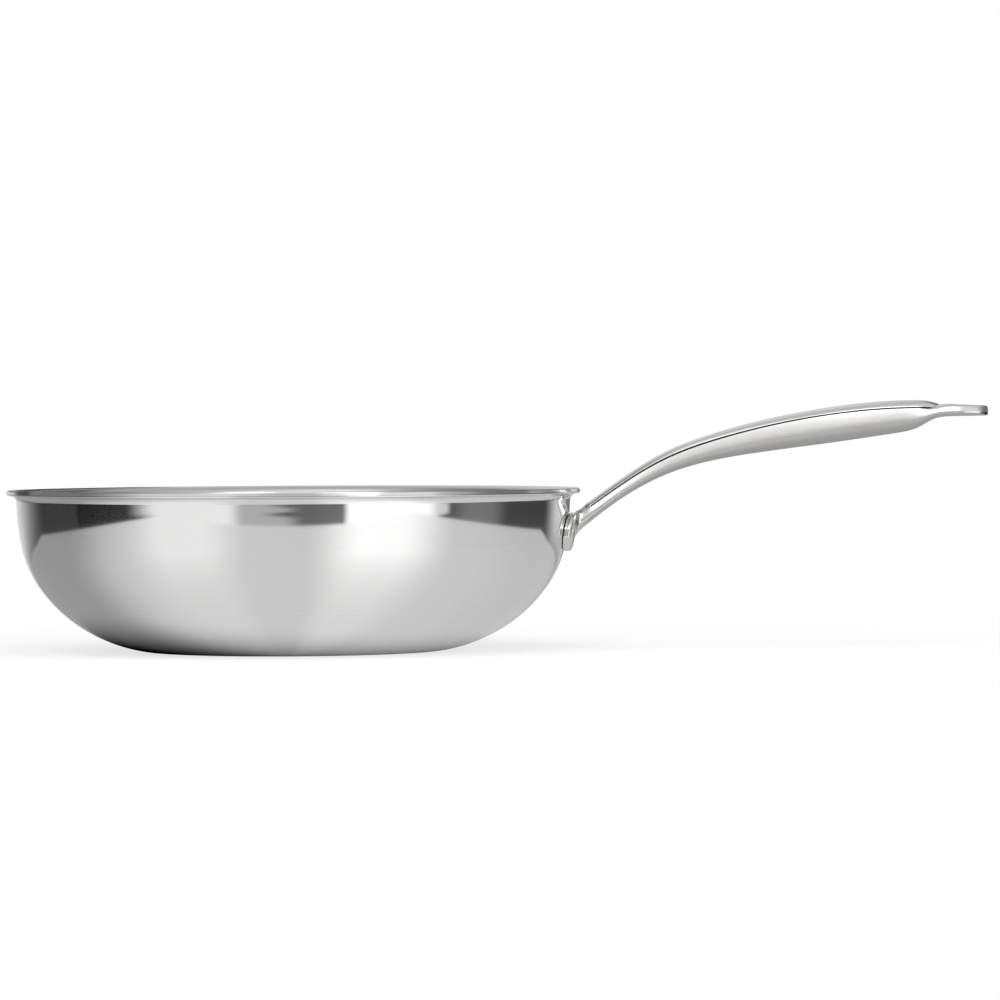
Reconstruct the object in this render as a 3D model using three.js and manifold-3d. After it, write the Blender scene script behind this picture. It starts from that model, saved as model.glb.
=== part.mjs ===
// Stainless steel wok: a three-layer pressed bowl with a flared rim, and a long
// hollow handle riveted to its wall. Millimetres and degrees, +Z up. The origin is
// the centre of the base's underside, and the handle points along +X.

import * as THREE from 'three';
import { mergeVertices } from 'three/addons/utils/BufferGeometryUtils.js';
import Module from 'manifold-3d';

const wasm = await Module();
wasm.setup();

// Bowl: the outer face of the wall, from the base to the lip. A slope is the angle
// from level at the end of a stretch.
const baseRadius = 71;
const heelRadius = 27;
const heelSlope = 8.7;
const flankRadius = 78.2;
const flankSlope = 52;
const shoulderRadius = 57.9;
const wallSlope = 85;
const wallLength = 14.9;
const flareRadius = 3.6;
const lipSlope = 10;
const lipLength = 2.2;

// Layers of the bonded sheet, from the outside in
const outerSkinThickness = 0.5;
const coreThickness = 1.4;
const liningThickness = 0.5;
const bondGap = 0.05;

// Flange of the handle, wrapped round the wall
const flangeHeight = 58.6;
const flangeWidth = 50;
const flangeDepth = 18.8;
const flangeThickness = 3.8;
const flangeGap = 0.3;

// Rivets through the wall and the flange
const rivetSpacing = 34;
const rivetDiameter = 6;
const rivetHeadDiameter = 13;
const rivetHeadHeight = 2.2;
const rivetCountersink = 8.4;
const rivetClearance = 0.25;
const rivetHeadGap = 0.3;

// Handle in side view. Reaches are measured from the wall at the flange's centre, rises
// from the flange's centre. The seam is the line between body and cover, and the belly
// is the underside of the grip. A pull is how far an end's direction carries, as a share
// of the curve's length in plan.
const handleReach = 210.8;
const rootReach = 8;
const rootStep = 0.2;
const neckDepth = 11.2;
const neckSlope = 40.6;
const gripRise = 61;
const gripDepth = 11.5;
const gripSlope = 9.3;
const seamRootPull = 0.026;
const seamTailPull = 0.73;
const bellyRootPull = 0.314;
const bellyTailPull = 0.593;
const tuckLength = 17;
const tuckPull = 0.41;
const tailLength = 22.3;
const tailThickness = 4.3;
const tailRiseSlope = 2;
const tailFallSlope = 3.6;

// Handle in plan
const neckWidth = 15;
const gripWidth = 27;
const tailWidth = 21;
const neckReach = 38;
const gripSetback = 48;
const rootFillet = 5;

// Handle in section
const shoulderInset = 1.2;
const shoulderDrop = 2.4;
const shoulderBulge = 0.7;
const bellyRoundness = 2.3;
const tailSquareness = 4;
const handleWall = 2.2;
const cavityReach = 44;
const cavitySetback = 3.2;

// Crowned cover welded on the handle
const coverReach = 9.5;
const coverSetback = 3;
const coverCrown = 3.1;
const coverEdge = 0.6;
const coverThickness = 1.5;
const coverNose = 8;
const coverGap = 0.3;
const tailCrown = 2.4;

// Slot in the tail, to hang the wok by
const slotSetback = 12;
const slotLength = 13;
const slotWidth = 8;

const turnSteps = 48;
const flareSteps = 2;
const roundSteps = 20;
const throughAll = 400;
const throughHandle = 40;
const stationGap = 1;

const rad = THREE.MathUtils.degToRad;
const mix = THREE.MathUtils.lerp;
const smooth = THREE.MathUtils.smoothstep;
const clamp = THREE.MathUtils.clamp;

function spread(from, to, steps) {
  return Array.from({ length: steps + 1 }, (_, i) => mix(from, to, i / steps));
}

// Solids: a closed geometry goes in, is joined and cut, and comes out again
function solid(geometry) {
  geometry.deleteAttribute('normal');
  geometry.deleteAttribute('uv');
  const merged = mergeVertices(geometry, 1e-4);
  const mesh = new wasm.Mesh({
    numProp: 3,
    vertProperties: new Float32Array(merged.attributes.position.array),
    triVerts: new Uint32Array(merged.index.array),
  });
  return new wasm.Manifold(mesh);
}

function geometryOf(body) {
  const mesh = body.getMesh();
  const geometry = new THREE.BufferGeometry();
  geometry.setAttribute('position', new THREE.BufferAttribute(mesh.vertProperties, 3));
  geometry.setIndex(new THREE.BufferAttribute(mesh.triVerts, 1));
  geometry.computeVertexNormals();
  return geometry;
}

// A closed outline of [radius, height] points, turned round the Z axis
function turned(outline, steps) {
  const points = outline.map(([r, z]) => new THREE.Vector2(r, z));
  const geometry = new THREE.LatheGeometry(points, steps, Math.PI / steps);
  geometry.rotateX(Math.PI / 2);
  return geometry;
}

// A skin over rings of points, one ring for each station, with both ends closed
function lofted(rings) {
  const count = rings[0].length;
  const positions = rings.flat().flatMap((p) => [p.x, p.y, p.z]);
  const index = [];
  for (let k = 0; k + 1 < rings.length; k++) {
    for (let i = 0; i < count; i++) {
      const a = k * count + i;
      const b = k * count + ((i + 1) % count);
      index.push(a, b, b + count, a, b + count, a + count);
    }
  }
  const flat = (ring) => ring.map((p) => new THREE.Vector2(p.y, p.z));
  const last = (rings.length - 1) * count;
  for (const [a, b, c] of THREE.ShapeUtils.triangulateShape(flat(rings[0]), [])) {
    index.push(c, b, a);
  }
  for (const [a, b, c] of THREE.ShapeUtils.triangulateShape(flat(rings.at(-1)), [])) {
    index.push(last + a, last + b, last + c);
  }
  const geometry = new THREE.BufferGeometry();
  geometry.setAttribute('position', new THREE.Float32BufferAttribute(positions, 3));
  geometry.setIndex(index);
  return geometry;
}

// Bowl wall: points of the outer face, each with its slope
function wallFace() {
  const face = [{ r: 0, z: 0, slope: 0 }, { r: baseRadius, z: 0, slope: 0 }];
  const arc = (radius, endSlope, steps) => {
    const start = face.at(-1);
    const turn = Math.sign(endSlope - start.slope) * radius;
    for (const s of spread(start.slope, endSlope, steps).slice(1)) {
      const r = start.r + turn * (Math.sin(rad(s)) - Math.sin(rad(start.slope)));
      const z = start.z + turn * (Math.cos(rad(start.slope)) - Math.cos(rad(s)));
      face.push({ r, z, slope: s });
    }
  };
  const straight = (length) => {
    const { r, z, slope } = face.at(-1);
    face.push({ r: r + length * Math.cos(rad(slope)), z: z + length * Math.sin(rad(slope)), slope });
  };
  arc(heelRadius, heelSlope, 1);
  arc(flankRadius, flankSlope, 4);
  arc(shoulderRadius, wallSlope, 3);
  straight(wallLength);
  arc(flareRadius, lipSlope, flareSteps);
  straight(lipLength);
  return face;
}

const outerFace = wallFace();

// The same face moved inwards by a depth, or outwards by a negative one
function faceAt(depth) {
  return outerFace.map(({ r, z, slope }, i) => [
    i === 0 ? 0 : r - depth * Math.sin(rad(slope)),
    z + depth * Math.cos(rad(slope)),
  ]);
}

// The face without its flare and lip, as far up as a flange can lie on it
function plainFaceAt(depth) {
  return faceAt(depth).slice(0, -flareSteps - 1);
}

function layer(from, to) {
  return solid(turned([...faceAt(from), ...faceAt(to).reverse()], turnSteps));
}

// The wall's radius at a height, in the middle of a facet
function wallRadius(height) {
  const k = outerFace.findIndex((p) => p.z > height);
  const low = outerFace[k - 1];
  const high = outerFace[k];
  const share = (height - low.z) / (high.z - low.z);
  return mix(low.r, high.r, share) * Math.cos(Math.PI / turnSteps);
}

const flangeFace = flangeGap + flangeThickness;
const sheetThickness = outerSkinThickness + coreThickness + liningThickness + 2 * bondGap;
const handleSeat = wallRadius(flangeHeight);

// Ends of the handle's lines in side view
const seamStart = { reach: rootReach, rise: flangeDepth / 2 - rootStep, slope: 0 };
const seamEnd = { reach: handleReach - tailLength - coverNose, rise: gripRise, slope: 0 };
const bellyStart = { reach: flangeFace, rise: seamStart.rise - neckDepth, slope: neckSlope };
const tailStart = { reach: handleReach - tailLength, rise: gripRise - tailThickness, slope: tailRiseSlope };
const bellyEnd = { reach: tailStart.reach - tuckLength, rise: gripRise - gripDepth, slope: gripSlope };

// A curve from one end to the other, leaving and arriving at their slopes
function bent(start, end, startPull, endPull) {
  const span = end.reach - start.reach;
  const aim = (point, pull) => {
    const reach = point.reach + pull * span;
    return new THREE.Vector2(reach, point.rise + pull * span * Math.tan(rad(point.slope)));
  };
  return new THREE.CubicBezierCurve(aim(start, 0), aim(start, startPull), aim(end, -endPull), aim(end, 0));
}

// The curve's rise at a reach, found by halving
function riseOn(curve, reach) {
  let low = 0;
  let high = 1;
  for (let i = 0; i < 40; i++) {
    const middle = (low + high) / 2;
    if (curve.getPoint(middle).x < reach) low = middle;
    else high = middle;
  }
  return curve.getPoint(low).y;
}

const seamCurve = bent(seamStart, seamEnd, seamRootPull, seamTailPull);
const bellyCurve = bent(bellyStart, bellyEnd, bellyRootPull, bellyTailPull);
const tuckCurve = bent(bellyEnd, tailStart, tuckPull, tuckPull);

function seamRise(x) {
  if (x < seamStart.reach) return seamStart.rise;
  if (x < seamEnd.reach) return riseOn(seamCurve, x);
  return seamEnd.rise - (x - seamEnd.reach) * Math.tan(rad(tailFallSlope));
}

function bellyRise(x) {
  if (x < bellyStart.reach) return bellyStart.rise;
  if (x < bellyEnd.reach) return riseOn(bellyCurve, x);
  if (x < tailStart.reach) return riseOn(tuckCurve, x);
  return tailStart.rise + (x - tailStart.reach) * Math.tan(rad(tailRiseSlope));
}

// Half the handle's width: the fillet at the flange, the neck, the grip and the round tail
const noseReach = handleReach - tailWidth / 2;
const gripReach = tailStart.reach - gripSetback;
const coverEnd = tailStart.reach - coverSetback;

function halfWidth(x) {
  const neckToGrip = mix(neckWidth, gripWidth, smooth(x, neckReach, gripReach)) / 2;
  const width = mix(neckToGrip, tailWidth / 2, smooth(x, gripReach, tailStart.reach));
  const near = clamp(1 - (x - flangeFace) / rootFillet, 0, 1);
  const fillet = rootFillet * (1 - Math.sqrt(1 - near * near));
  const past = clamp((x - noseReach) / (tailWidth / 2), 0, 1);
  return (width + fillet) * Math.sqrt(1 - past * past);
}

function seamHalfWidth(x) {
  const half = halfWidth(x);
  return half - Math.min(shoulderInset, half / 4);
}

function rootCrown(x) {
  return coverCrown * smooth(x, flangeFace, coverReach);
}

function bodyCrown(x) {
  return x < coverEnd - coverNose ? rootCrown(x) : tailCrown;
}

// A section of the handle, from points of its left half listed from top to bottom
function section(reach, side) {
  const place = (y, rise) => new THREE.Vector3(handleSeat + reach, y, flangeHeight + rise);
  const left = side.map(([y, rise]) => place(-y, rise));
  const right = side.filter(([y]) => y > 0).map(([y, rise]) => place(y, rise));
  return [...left, ...right.reverse()];
}

function quarterRound(half, top, bottom, power, steps) {
  return spread(0, 90, steps).map((turn) => [
    turn < 90 ? half * Math.cos(rad(turn)) ** (2 / power) : 0,
    top - (top - bottom) * Math.sin(rad(turn)) ** (2 / power),
  ]);
}

// A crowned back, from its height in the middle to its height at the edge
function crowned(half, base, middle, edge, shares) {
  return shares.map((share) => [share * half, base + mix(middle, edge, share * share)]);
}

function bodyRing(x) {
  const half = halfWidth(x);
  const edge = seamHalfWidth(x);
  const top = seamRise(x);
  const bottom = bellyRise(x);
  const drop = Math.min(shoulderDrop, (top - bottom) / 3);
  const power = mix(bellyRoundness, tailSquareness, smooth(x, bellyEnd.reach, tailStart.reach));
  return section(x, [
    ...crowned(edge, top, bodyCrown(x), 0, [0, 0.5, 1]),
    [mix(edge, half, shoulderBulge), top - drop / 2],
    ...quarterRound(half, top - drop, bottom, power, 5),
  ]);
}

function cavityRing(x) {
  const half = seamHalfWidth(x) - handleWall;
  const top = seamRise(x);
  const bottom = bellyRise(x) + handleWall;
  return section(x, [
    [half, top + throughHandle],
    ...quarterRound(half, top - shoulderDrop, bottom, 2, 4),
  ]);
}

// The cover's outline in plan, with a round nose, let out by a clearance
function coverHalfWidth(x, grow) {
  const nose = coverNose + grow;
  const past = clamp((x - (coverEnd - coverNose)) / nose, 0, 1);
  return (seamHalfWidth(x) + grow) * Math.sqrt(1 - past * past);
}

function coverRing(x) {
  const half = coverHalfWidth(x, 0);
  const land = half - Math.min(handleWall, half / 3);
  const base = seamRise(x);
  return section(x, [
    ...crowned(half, base, coverCrown, coverEdge, [0, 0.4, 0.7, 0.92, 1]),
    [half, base],
    ...crowned(land, base, coverCrown - coverThickness, 0, [1, 0.5, 0]),
  ]);
}

function coverSeatRing(x) {
  const half = coverHalfWidth(x, coverGap);
  const floor = seamRise(x) - coverGap;
  return section(x, [[half, floor + throughHandle], [half, floor]]);
}

// Stations along the handle
const gripStations = [
  ...spread(coverReach, neckReach, 5),
  ...spread(neckReach, bellyEnd.reach, 11).slice(1),
];
const noseShares = spread(0, 80, 4).map((turn) => Math.sin(rad(turn)));

function coverStations(start, grow) {
  const nose = coverEnd - coverNose;
  const grip = gripStations.filter((x) => x > start && x < nose - stationGap);
  return [start, ...grip, ...noseShares.map((share) => nose + share * (coverNose + grow))];
}

function bodyStations() {
  const filletEnd = flangeFace + rootFillet;
  return [
    flangeGap + flangeThickness / 2,
    ...spread(flangeFace, filletEnd, 4),
    ...gripStations.filter((x) => x > filletEnd + stationGap),
    ...spread(bellyEnd.reach, tailStart.reach, 7).slice(1),
    ...noseShares.map((share) => noseReach + (share * tailWidth) / 2),
  ];
}

// Rivets stand square to the wall, which their heads touch above and below
const rivetLow = wallRadius(flangeHeight - rivetHeadDiameter / 2);
const rivetHigh = wallRadius(flangeHeight + rivetHeadDiameter / 2);
const rivetSeat = (rivetLow + rivetHigh) / 2;
const rivetSlope = Math.atan2(rivetHeadDiameter, rivetHigh - rivetLow);
const rivetTurn = Math.asin(rivetSpacing / 2 / rivetSeat);
const rivetGrip = sheetThickness + flangeFace;

// Made about Z, from the flange's outer face towards the inside of the bowl
function placedOnWall(geometry, side) {
  geometry.translate(0, 0, -flangeFace);
  geometry.rotateY(-rivetSlope);
  geometry.translate(rivetSeat, 0, flangeHeight);
  geometry.rotateZ(side * rivetTurn);
  return geometry;
}

function countersunk(grow, length) {
  const shank = rivetDiameter / 2 + grow;
  const mouth = rivetCountersink / 2 + grow;
  return [[mouth, 0], [shank, mouth - shank], [shank, length]];
}

function rivet(side) {
  const headFoot = rivetGrip + rivetHeadGap;
  const head = quarterRound(rivetHeadDiameter / 2, headFoot, headFoot + rivetHeadHeight, 2, 4);
  const outline = [[0, 0], ...countersunk(0, headFoot), ...head];
  return solid(placedOnWall(turned(outline, roundSteps), side));
}

function rivetHole(side) {
  const bore = countersunk(rivetClearance, throughHandle);
  const outline = [[0, -throughHandle], [bore[0][0], -throughHandle], ...bore, [0, throughHandle]];
  return solid(placedOnWall(turned(outline, roundSteps), side));
}

const rivetHoles = rivetHole(1).add(rivetHole(-1));

// A bar with round ends, as long and wide as given, raised along Z
function roundedBar(length, width) {
  const reach = (length - width) / 2;
  const outline = new THREE.Shape();
  outline.absarc(reach, 0, width / 2, -Math.PI / 2, Math.PI / 2);
  outline.absarc(-reach, 0, width / 2, Math.PI / 2, -Math.PI / 2);
  const options = { depth: throughAll, bevelEnabled: false, curveSegments: roundSteps / 2 };
  return new THREE.ExtrudeGeometry(outline, options);
}

function flangePrism() {
  const bar = roundedBar(flangeWidth, flangeDepth);
  bar.rotateX(Math.PI / 2);
  bar.rotateZ(Math.PI / 2);
  bar.translate(0, 0, flangeHeight);
  return solid(bar);
}

function hangingSlot() {
  const bar = roundedBar(slotLength, slotWidth);
  bar.translate(handleSeat + handleReach - slotSetback, 0, 0);
  return solid(bar);
}

function handleBody() {
  const wallSide = plainFaceAt(-flangeGap);
  const bowlSpace = solid(turned([...wallSide, [0, wallSide.at(-1)[1]]], turnSteps));
  const wrap = solid(turned([...plainFaceAt(-flangeFace), ...wallSide.reverse()], turnSteps));
  const limb = solid(lofted(bodyStations().map(bodyRing)));
  const cavityStations = spread(cavityReach, bellyEnd.reach - cavitySetback, 9);
  const cavity = solid(lofted(cavityStations.map(cavityRing)));
  const coverSeat = solid(lofted(coverStations(coverReach - coverGap, coverGap).map(coverSeatRing)));
  return wrap.intersect(flangePrism()).add(limb.subtract(bowlSpace))
    .subtract(coverSeat).subtract(cavity).subtract(rivetHoles).subtract(hangingSlot());
}

function handleCover() {
  return solid(lofted(coverStations(coverReach, 0).map(coverRing)));
}

const polished = { color: 0xc9cacc, metalness: 1, roughness: 0.12 };
const brushed = { color: 0xb9b9b8, metalness: 1, roughness: 0.34 };
const aluminium = { color: 0xd2d3d5, metalness: 1, roughness: 0.45 };

const wok = new THREE.Group();

function addPiece(name, body, finish) {
  const mesh = new THREE.Mesh(geometryOf(body), new THREE.MeshStandardMaterial(finish));
  mesh.name = name;
  wok.add(mesh);
}

const coreFrom = outerSkinThickness + bondGap;
const liningFrom = coreFrom + coreThickness + bondGap;
addPiece('outer_skin', layer(0, outerSkinThickness).subtract(rivetHoles), polished);
addPiece('aluminium_core', layer(coreFrom, coreFrom + coreThickness).subtract(rivetHoles), aluminium);
addPiece('inner_lining', layer(liningFrom, liningFrom + liningThickness).subtract(rivetHoles), brushed);
addPiece('handle_body', handleBody(), brushed);
addPiece('handle_cover', handleCover(), polished);
addPiece('rivet_left', rivet(1), polished);
addPiece('rivet_right', rivet(-1), polished);

export default wok;
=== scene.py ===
# Wok with a polished clad bowl and a long riveted handle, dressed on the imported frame

from math import asin, atan2, cos, pi, radians, sin, tan

import bmesh
import bpy
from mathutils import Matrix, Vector
from mathutils.geometry import interpolate_bezier


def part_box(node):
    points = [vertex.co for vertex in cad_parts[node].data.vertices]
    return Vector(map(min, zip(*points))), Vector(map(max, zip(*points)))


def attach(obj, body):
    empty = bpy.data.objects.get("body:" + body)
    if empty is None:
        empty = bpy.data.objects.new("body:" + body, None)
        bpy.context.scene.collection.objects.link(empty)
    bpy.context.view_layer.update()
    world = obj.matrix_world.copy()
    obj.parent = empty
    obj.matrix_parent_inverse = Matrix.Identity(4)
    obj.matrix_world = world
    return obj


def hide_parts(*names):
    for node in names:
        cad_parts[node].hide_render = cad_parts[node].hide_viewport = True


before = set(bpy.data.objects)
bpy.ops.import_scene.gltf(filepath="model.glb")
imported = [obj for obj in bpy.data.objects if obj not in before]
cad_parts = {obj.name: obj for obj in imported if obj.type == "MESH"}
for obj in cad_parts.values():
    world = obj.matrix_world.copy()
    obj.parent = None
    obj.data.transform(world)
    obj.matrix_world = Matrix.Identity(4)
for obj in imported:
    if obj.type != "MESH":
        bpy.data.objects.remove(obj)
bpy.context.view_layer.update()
mm = 0.001
hair = 0.01 * mm  # points closer than this are one
print("frame loaded:", ", ".join(sorted(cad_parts)))


# Working in edit mode

def startMesh(name):
    bpy.ops.object.select_all(action="DESELECT")
    bpy.ops.mesh.primitive_plane_add(size=mm)
    piece = bpy.context.object
    piece.name = name
    piece.data.name = name
    bpy.ops.object.mode_set(mode="EDIT")
    return piece


def startGrid(name, columns, rows):  # a sheet in the YZ plane with its lines at the given places
    bpy.ops.object.select_all(action="DESELECT")
    bpy.ops.mesh.primitive_grid_add(x_subdivisions=len(columns) - 1, y_subdivisions=len(rows) - 1, size=1)
    piece = bpy.context.object
    piece.name = name
    piece.data.name = name
    bpy.ops.object.mode_set(mode="EDIT")
    mesh = bmesh.from_edit_mesh(piece.data)
    for vert in mesh.verts:
        column = round((vert.co.x + 0.5) * (len(columns) - 1))
        row = round((vert.co.y + 0.5) * (len(rows) - 1))
        vert.co = (0, columns[column], rows[row])
    bmesh.update_edit_mesh(piece.data)
    return piece


def pick(test):  # select the points that pass the test, and the edges and faces between them
    data = bpy.context.edit_object.data
    mesh = bmesh.from_edit_mesh(data)
    bpy.ops.mesh.select_all(action="DESELECT")
    for vert in mesh.verts:
        vert.select = test(vert.co)
    mesh.select_flush(True)
    bmesh.update_edit_mesh(data)


def pickFaces(test):
    data = bpy.context.edit_object.data
    mesh = bmesh.from_edit_mesh(data)
    bpy.ops.mesh.select_all(action="DESELECT")
    for face in mesh.faces:
        face.select = test(face.calc_center_median(), face.normal)
    bmesh.update_edit_mesh(data)


def picked():
    mesh = bmesh.from_edit_mesh(bpy.context.edit_object.data)
    return [vert.co.copy() for vert in mesh.verts if vert.select]


def push(step):
    bpy.ops.mesh.extrude_region_move(TRANSFORM_OT_translate={"value": step})


def leaveEdit():
    bpy.ops.mesh.select_all(action="SELECT")
    bpy.ops.mesh.remove_doubles(threshold=hair)
    bpy.ops.mesh.normals_make_consistent(inside=False)
    bpy.ops.object.mode_set(mode="OBJECT")


def applyModifier(piece, kind, **values):
    made = piece.modifiers.new(kind.title(), kind)
    for name, value in values.items():
        setattr(made, name, value)
    bpy.ops.object.modifier_apply(modifier=made.name)


# Drawing a line in the XZ plane with a single point, then turning it round Z

def startLine(name, x, z):
    piece = startMesh(name)
    bpy.ops.mesh.merge(type="CENTER")
    bpy.ops.transform.translate(value=(x, 0, z))
    return piece


def drawTo(x, z):
    here = picked()[0]
    push((x - here.x, 0, z - here.z))


def drawOn(length, slope):
    push((length * cos(slope), 0, length * sin(slope)))


def drawArc(radius, slope, endSlope, steps):  # bends up where the slope grows, down where it falls
    here = picked()[0]
    side = 1 if endSlope > slope else -1
    middle = (here.x - side * radius * sin(slope), 0, here.z + side * radius * cos(slope))
    bpy.ops.mesh.spin(steps=steps, angle=endSlope - slope, center=middle, axis=(0, 1, 0))


def turnRound(steps):
    bpy.ops.mesh.select_all(action="SELECT")
    bpy.ops.mesh.spin(steps=steps, angle=2 * pi, center=(0, 0, 0), axis=(0, 0, 1))


# Bowl

bowl = {
    "baseRadius": 71 * mm,
    "heelRadius": 27 * mm,
    "heelSlope": radians(8.7),
    "flankRadius": 78.2 * mm,
    "flankSlope": radians(52),
    "shoulderRadius": 57.04 * mm,
    "shoulderSlope": radians(80),
    "wallRadius": 145.8 * mm,
    "wallSlope": radians(88),
    "flareRadius": 3.4 * mm,
    "lipSlope": radians(10),
    "lipLength": 2.355 * mm,
    "arcSteps": {"heel": 4, "flank": 24, "shoulder": 16, "wall": 8},
    "flareSteps": 14,
    "turnSteps": 288,
    "lipRound": 0.42 * mm,
    "lipSegments": 5,
    "lipBand": 0.6 * mm,  # the lip's edges lie this near to the rim
    "lipShort": 0.28 * mm,  # how far the skins stop short of the core
}
layers = {  # depth of each layer's outer face under the bowl's, and its thickness
    "outer_skin": (0, 0.5 * mm),
    "aluminium_core": (0.55 * mm, 1.4 * mm),
    "inner_lining": (2.0 * mm, 0.5 * mm),
}


def drawWall(name, depth, lipLength):
    piece = startLine(name, 0, depth)
    drawTo(bowl["baseRadius"], depth)
    slope = 0
    for part, steps in bowl["arcSteps"].items():
        drawArc(bowl[part + "Radius"] - depth, slope, bowl[part + "Slope"], steps)
        slope = bowl[part + "Slope"]
    drawArc(bowl["flareRadius"] + depth, slope, bowl["lipSlope"], bowl["flareSteps"])
    drawOn(lipLength, bowl["lipSlope"])
    turnRound(bowl["turnSteps"])
    leaveEdit()
    return piece


def bowlLayer(node):
    depth, thickness = layers[node]
    short = 0 if node == "aluminium_core" else bowl["lipShort"]
    piece = drawWall(node + "_sheet", depth, bowl["lipLength"] - short)
    lowest = min(piece.data.polygons, key=lambda face: face.center.z)
    if lowest.normal.z > 0:
        piece.data.flip_normals()
    applyModifier(piece, "SOLIDIFY", thickness=thickness, offset=-1, use_even_offset=True)
    return piece


def fromAxis(p):
    return Vector((p.x, p.y)).length


def roundLip(piece, upper):  # rounds one edge of the lip, the top one or the one below
    points = [v.co for v in piece.data.vertices]
    rim = max(fromAxis(p) for p in points)
    if upper:
        edge = max(p.z for p in points if fromAxis(p) > rim - bowl["lipBand"])
    else:
        edge = min(p.z for p in points if fromAxis(p) > rim - hair)
    bpy.ops.object.mode_set(mode="EDIT")
    bpy.ops.mesh.select_mode(type="VERT")
    pick(lambda p: abs(p.z - edge) < hair and fromAxis(p) > rim - bowl["lipBand"])
    bpy.ops.mesh.bevel(offset=bowl["lipRound"], segments=bowl["lipSegments"], affect="EDGES")
    bpy.ops.object.mode_set(mode="OBJECT")


outerSkin = bowlLayer("outer_skin")
roundLip(outerSkin, upper=False)
core = bowlLayer("aluminium_core")
lining = bowlLayer("inner_lining")
roundLip(lining, upper=True)
print("bowl turned:", len(outerSkin.data.polygons), "faces on the outer skin")


def wallX(y, z):  # where the bowl's outer face lies, seen along X; the ray runs beside an edge, not along it
    return outerSkin.ray_cast((1, y + hair, z), (-1, 0, 0))[1].x


# Handle lines in side view: reach from the wall, rise from the flange's middle

handle = {
    "flangeHeight": 58.6 * mm,
    "reach": 210.8 * mm,
    "rootReach": 8 * mm,
    "rootRise": 9.65 * mm,
    "neckDepth": 11.2 * mm,
    "neckSlope": radians(40.6),
    "gripRise": 60.95 * mm,
    "gripDepth": 11.5 * mm,
    "gripSlope": radians(9.3),
    "seamMiddle": (62 * mm, 41.4 * mm),
    "seamSlopes": (radians(35), radians(19.5), radians(-1.15)),
    "seamPulls": ((0.316, 0.418), (0.156, 0.444)),
    "bellyPulls": (0.314, 0.593),
    "tuckPulls": (0.41, 0.41),
    "tuckLength": 17 * mm,
    "tailLength": 22.3 * mm,
    "tailThickness": 4.15 * mm,
    "tailRise": radians(0.8),
    "tailFall": radians(2.6),
    "neckWidth": 15 * mm,
    "gripWidth": 27 * mm,
    "tailWidth": 21 * mm,
    "neckReach": 38 * mm,
    "gripSetback": 48 * mm,
    "coverNose": 8 * mm,
    "lineSteps": 200,
    # Towards the rounded end, the share of the tail's width that is left at each reach
    "tip": [(r * mm, share) for r, share in ((198.8, 1), (207.5, 0.71), (210.2, 0.40), (211.2, 0.18))],
}
flange = {
    "gap": 0.3 * mm,
    "thickness": 3.8 * mm,
    "columns": [c * mm for c in (-25.3, -21, -15, -9.6, -4.8, 0, 4.8, 9.6, 15, 21, 25.3)],
    "rows": [r * mm for r in (-9.0, -5.6, -2.3, 1.9, 6.2, 9.5)],
    "neckColumns": 3,  # the limb grows from these, counted from the middle out, and from the topmost rows
    "neckRows": 4,
    "roundEnds": ((14 * mm, 0.95), (20 * mm, 0.86), (24 * mm, 0.32)),  # past each place, the height left
    "fullness": (1.02, 1.04),  # how far the edge swells halfway through
    "backCrease": 0.45,
}
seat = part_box("handle_body")[1].x - handle["reach"]
level = handle["flangeHeight"]
middleColumn = len(flange["columns"]) // 2
neckColumns = flange["columns"][middleColumn:middleColumn + flange["neckColumns"]]
neckRows = flange["rows"][-flange["neckRows"]:]
flangeFace = flange["gap"] + flange["thickness"]
tailStart = handle["reach"] - handle["tailLength"]
bellyEnd = tailStart - handle["tuckLength"]
seamEnd = tailStart - handle["coverNose"]


def bent(start, end, slopes, pulls):
    span = end[0] - start[0]
    ends = [Vector((p[0], p[1], 0)) for p in (start, end)]
    first = ends[0] + pulls[0] * span * Vector((1, tan(slopes[0]), 0))
    second = ends[1] - pulls[1] * span * Vector((1, tan(slopes[1]), 0))
    return interpolate_bezier(ends[0], first, second, ends[1], handle["lineSteps"])


def riseOn(line, x):
    after = next((k for k, p in enumerate(line) if p.x >= x), len(line) - 1)
    low, high = line[max(after - 1, 0)], line[after]
    share = (x - low.x) / (high.x - low.x) if high.x > low.x else 0
    return low.y + share * (high.y - low.y)


neckFoot = handle["rootRise"] - handle["neckDepth"]
tailUnder = handle["gripRise"] - handle["tailThickness"]
bellyUnder = handle["gripRise"] - handle["gripDepth"]
seamPlaces = ((handle["rootReach"], handle["rootRise"]), handle["seamMiddle"], (seamEnd, handle["gripRise"]))
seamLine = bent(*seamPlaces[:2], handle["seamSlopes"][:2], handle["seamPulls"][0])
seamLine += bent(*seamPlaces[1:], handle["seamSlopes"][1:], handle["seamPulls"][1])[1:]
bellyLine = bent((flangeFace, neckFoot), (bellyEnd, bellyUnder),
                 (handle["neckSlope"], handle["gripSlope"]), handle["bellyPulls"])
tuckLine = bent((bellyEnd, bellyUnder), (tailStart, tailUnder),
                (handle["gripSlope"], handle["tailRise"]), handle["tuckPulls"])


def ease(x, low, high):
    share = min(max((x - low) / (high - low), 0), 1)
    return share * share * (3 - 2 * share)


def mix(a, b, share):
    return a + (b - a) * share


def seamRise(x):
    if x < handle["rootReach"]:
        return handle["rootRise"]
    return riseOn(seamLine, min(x, seamEnd)) - max(x - tailStart, 0) * tan(handle["tailFall"])


def bellyRise(x):
    if x < flangeFace:
        return neckFoot
    if x < bellyEnd:
        return riseOn(bellyLine, x)
    if x < tailStart:
        return riseOn(tuckLine, x)
    return tailUnder + (x - tailStart) * tan(handle["tailRise"])


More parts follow.
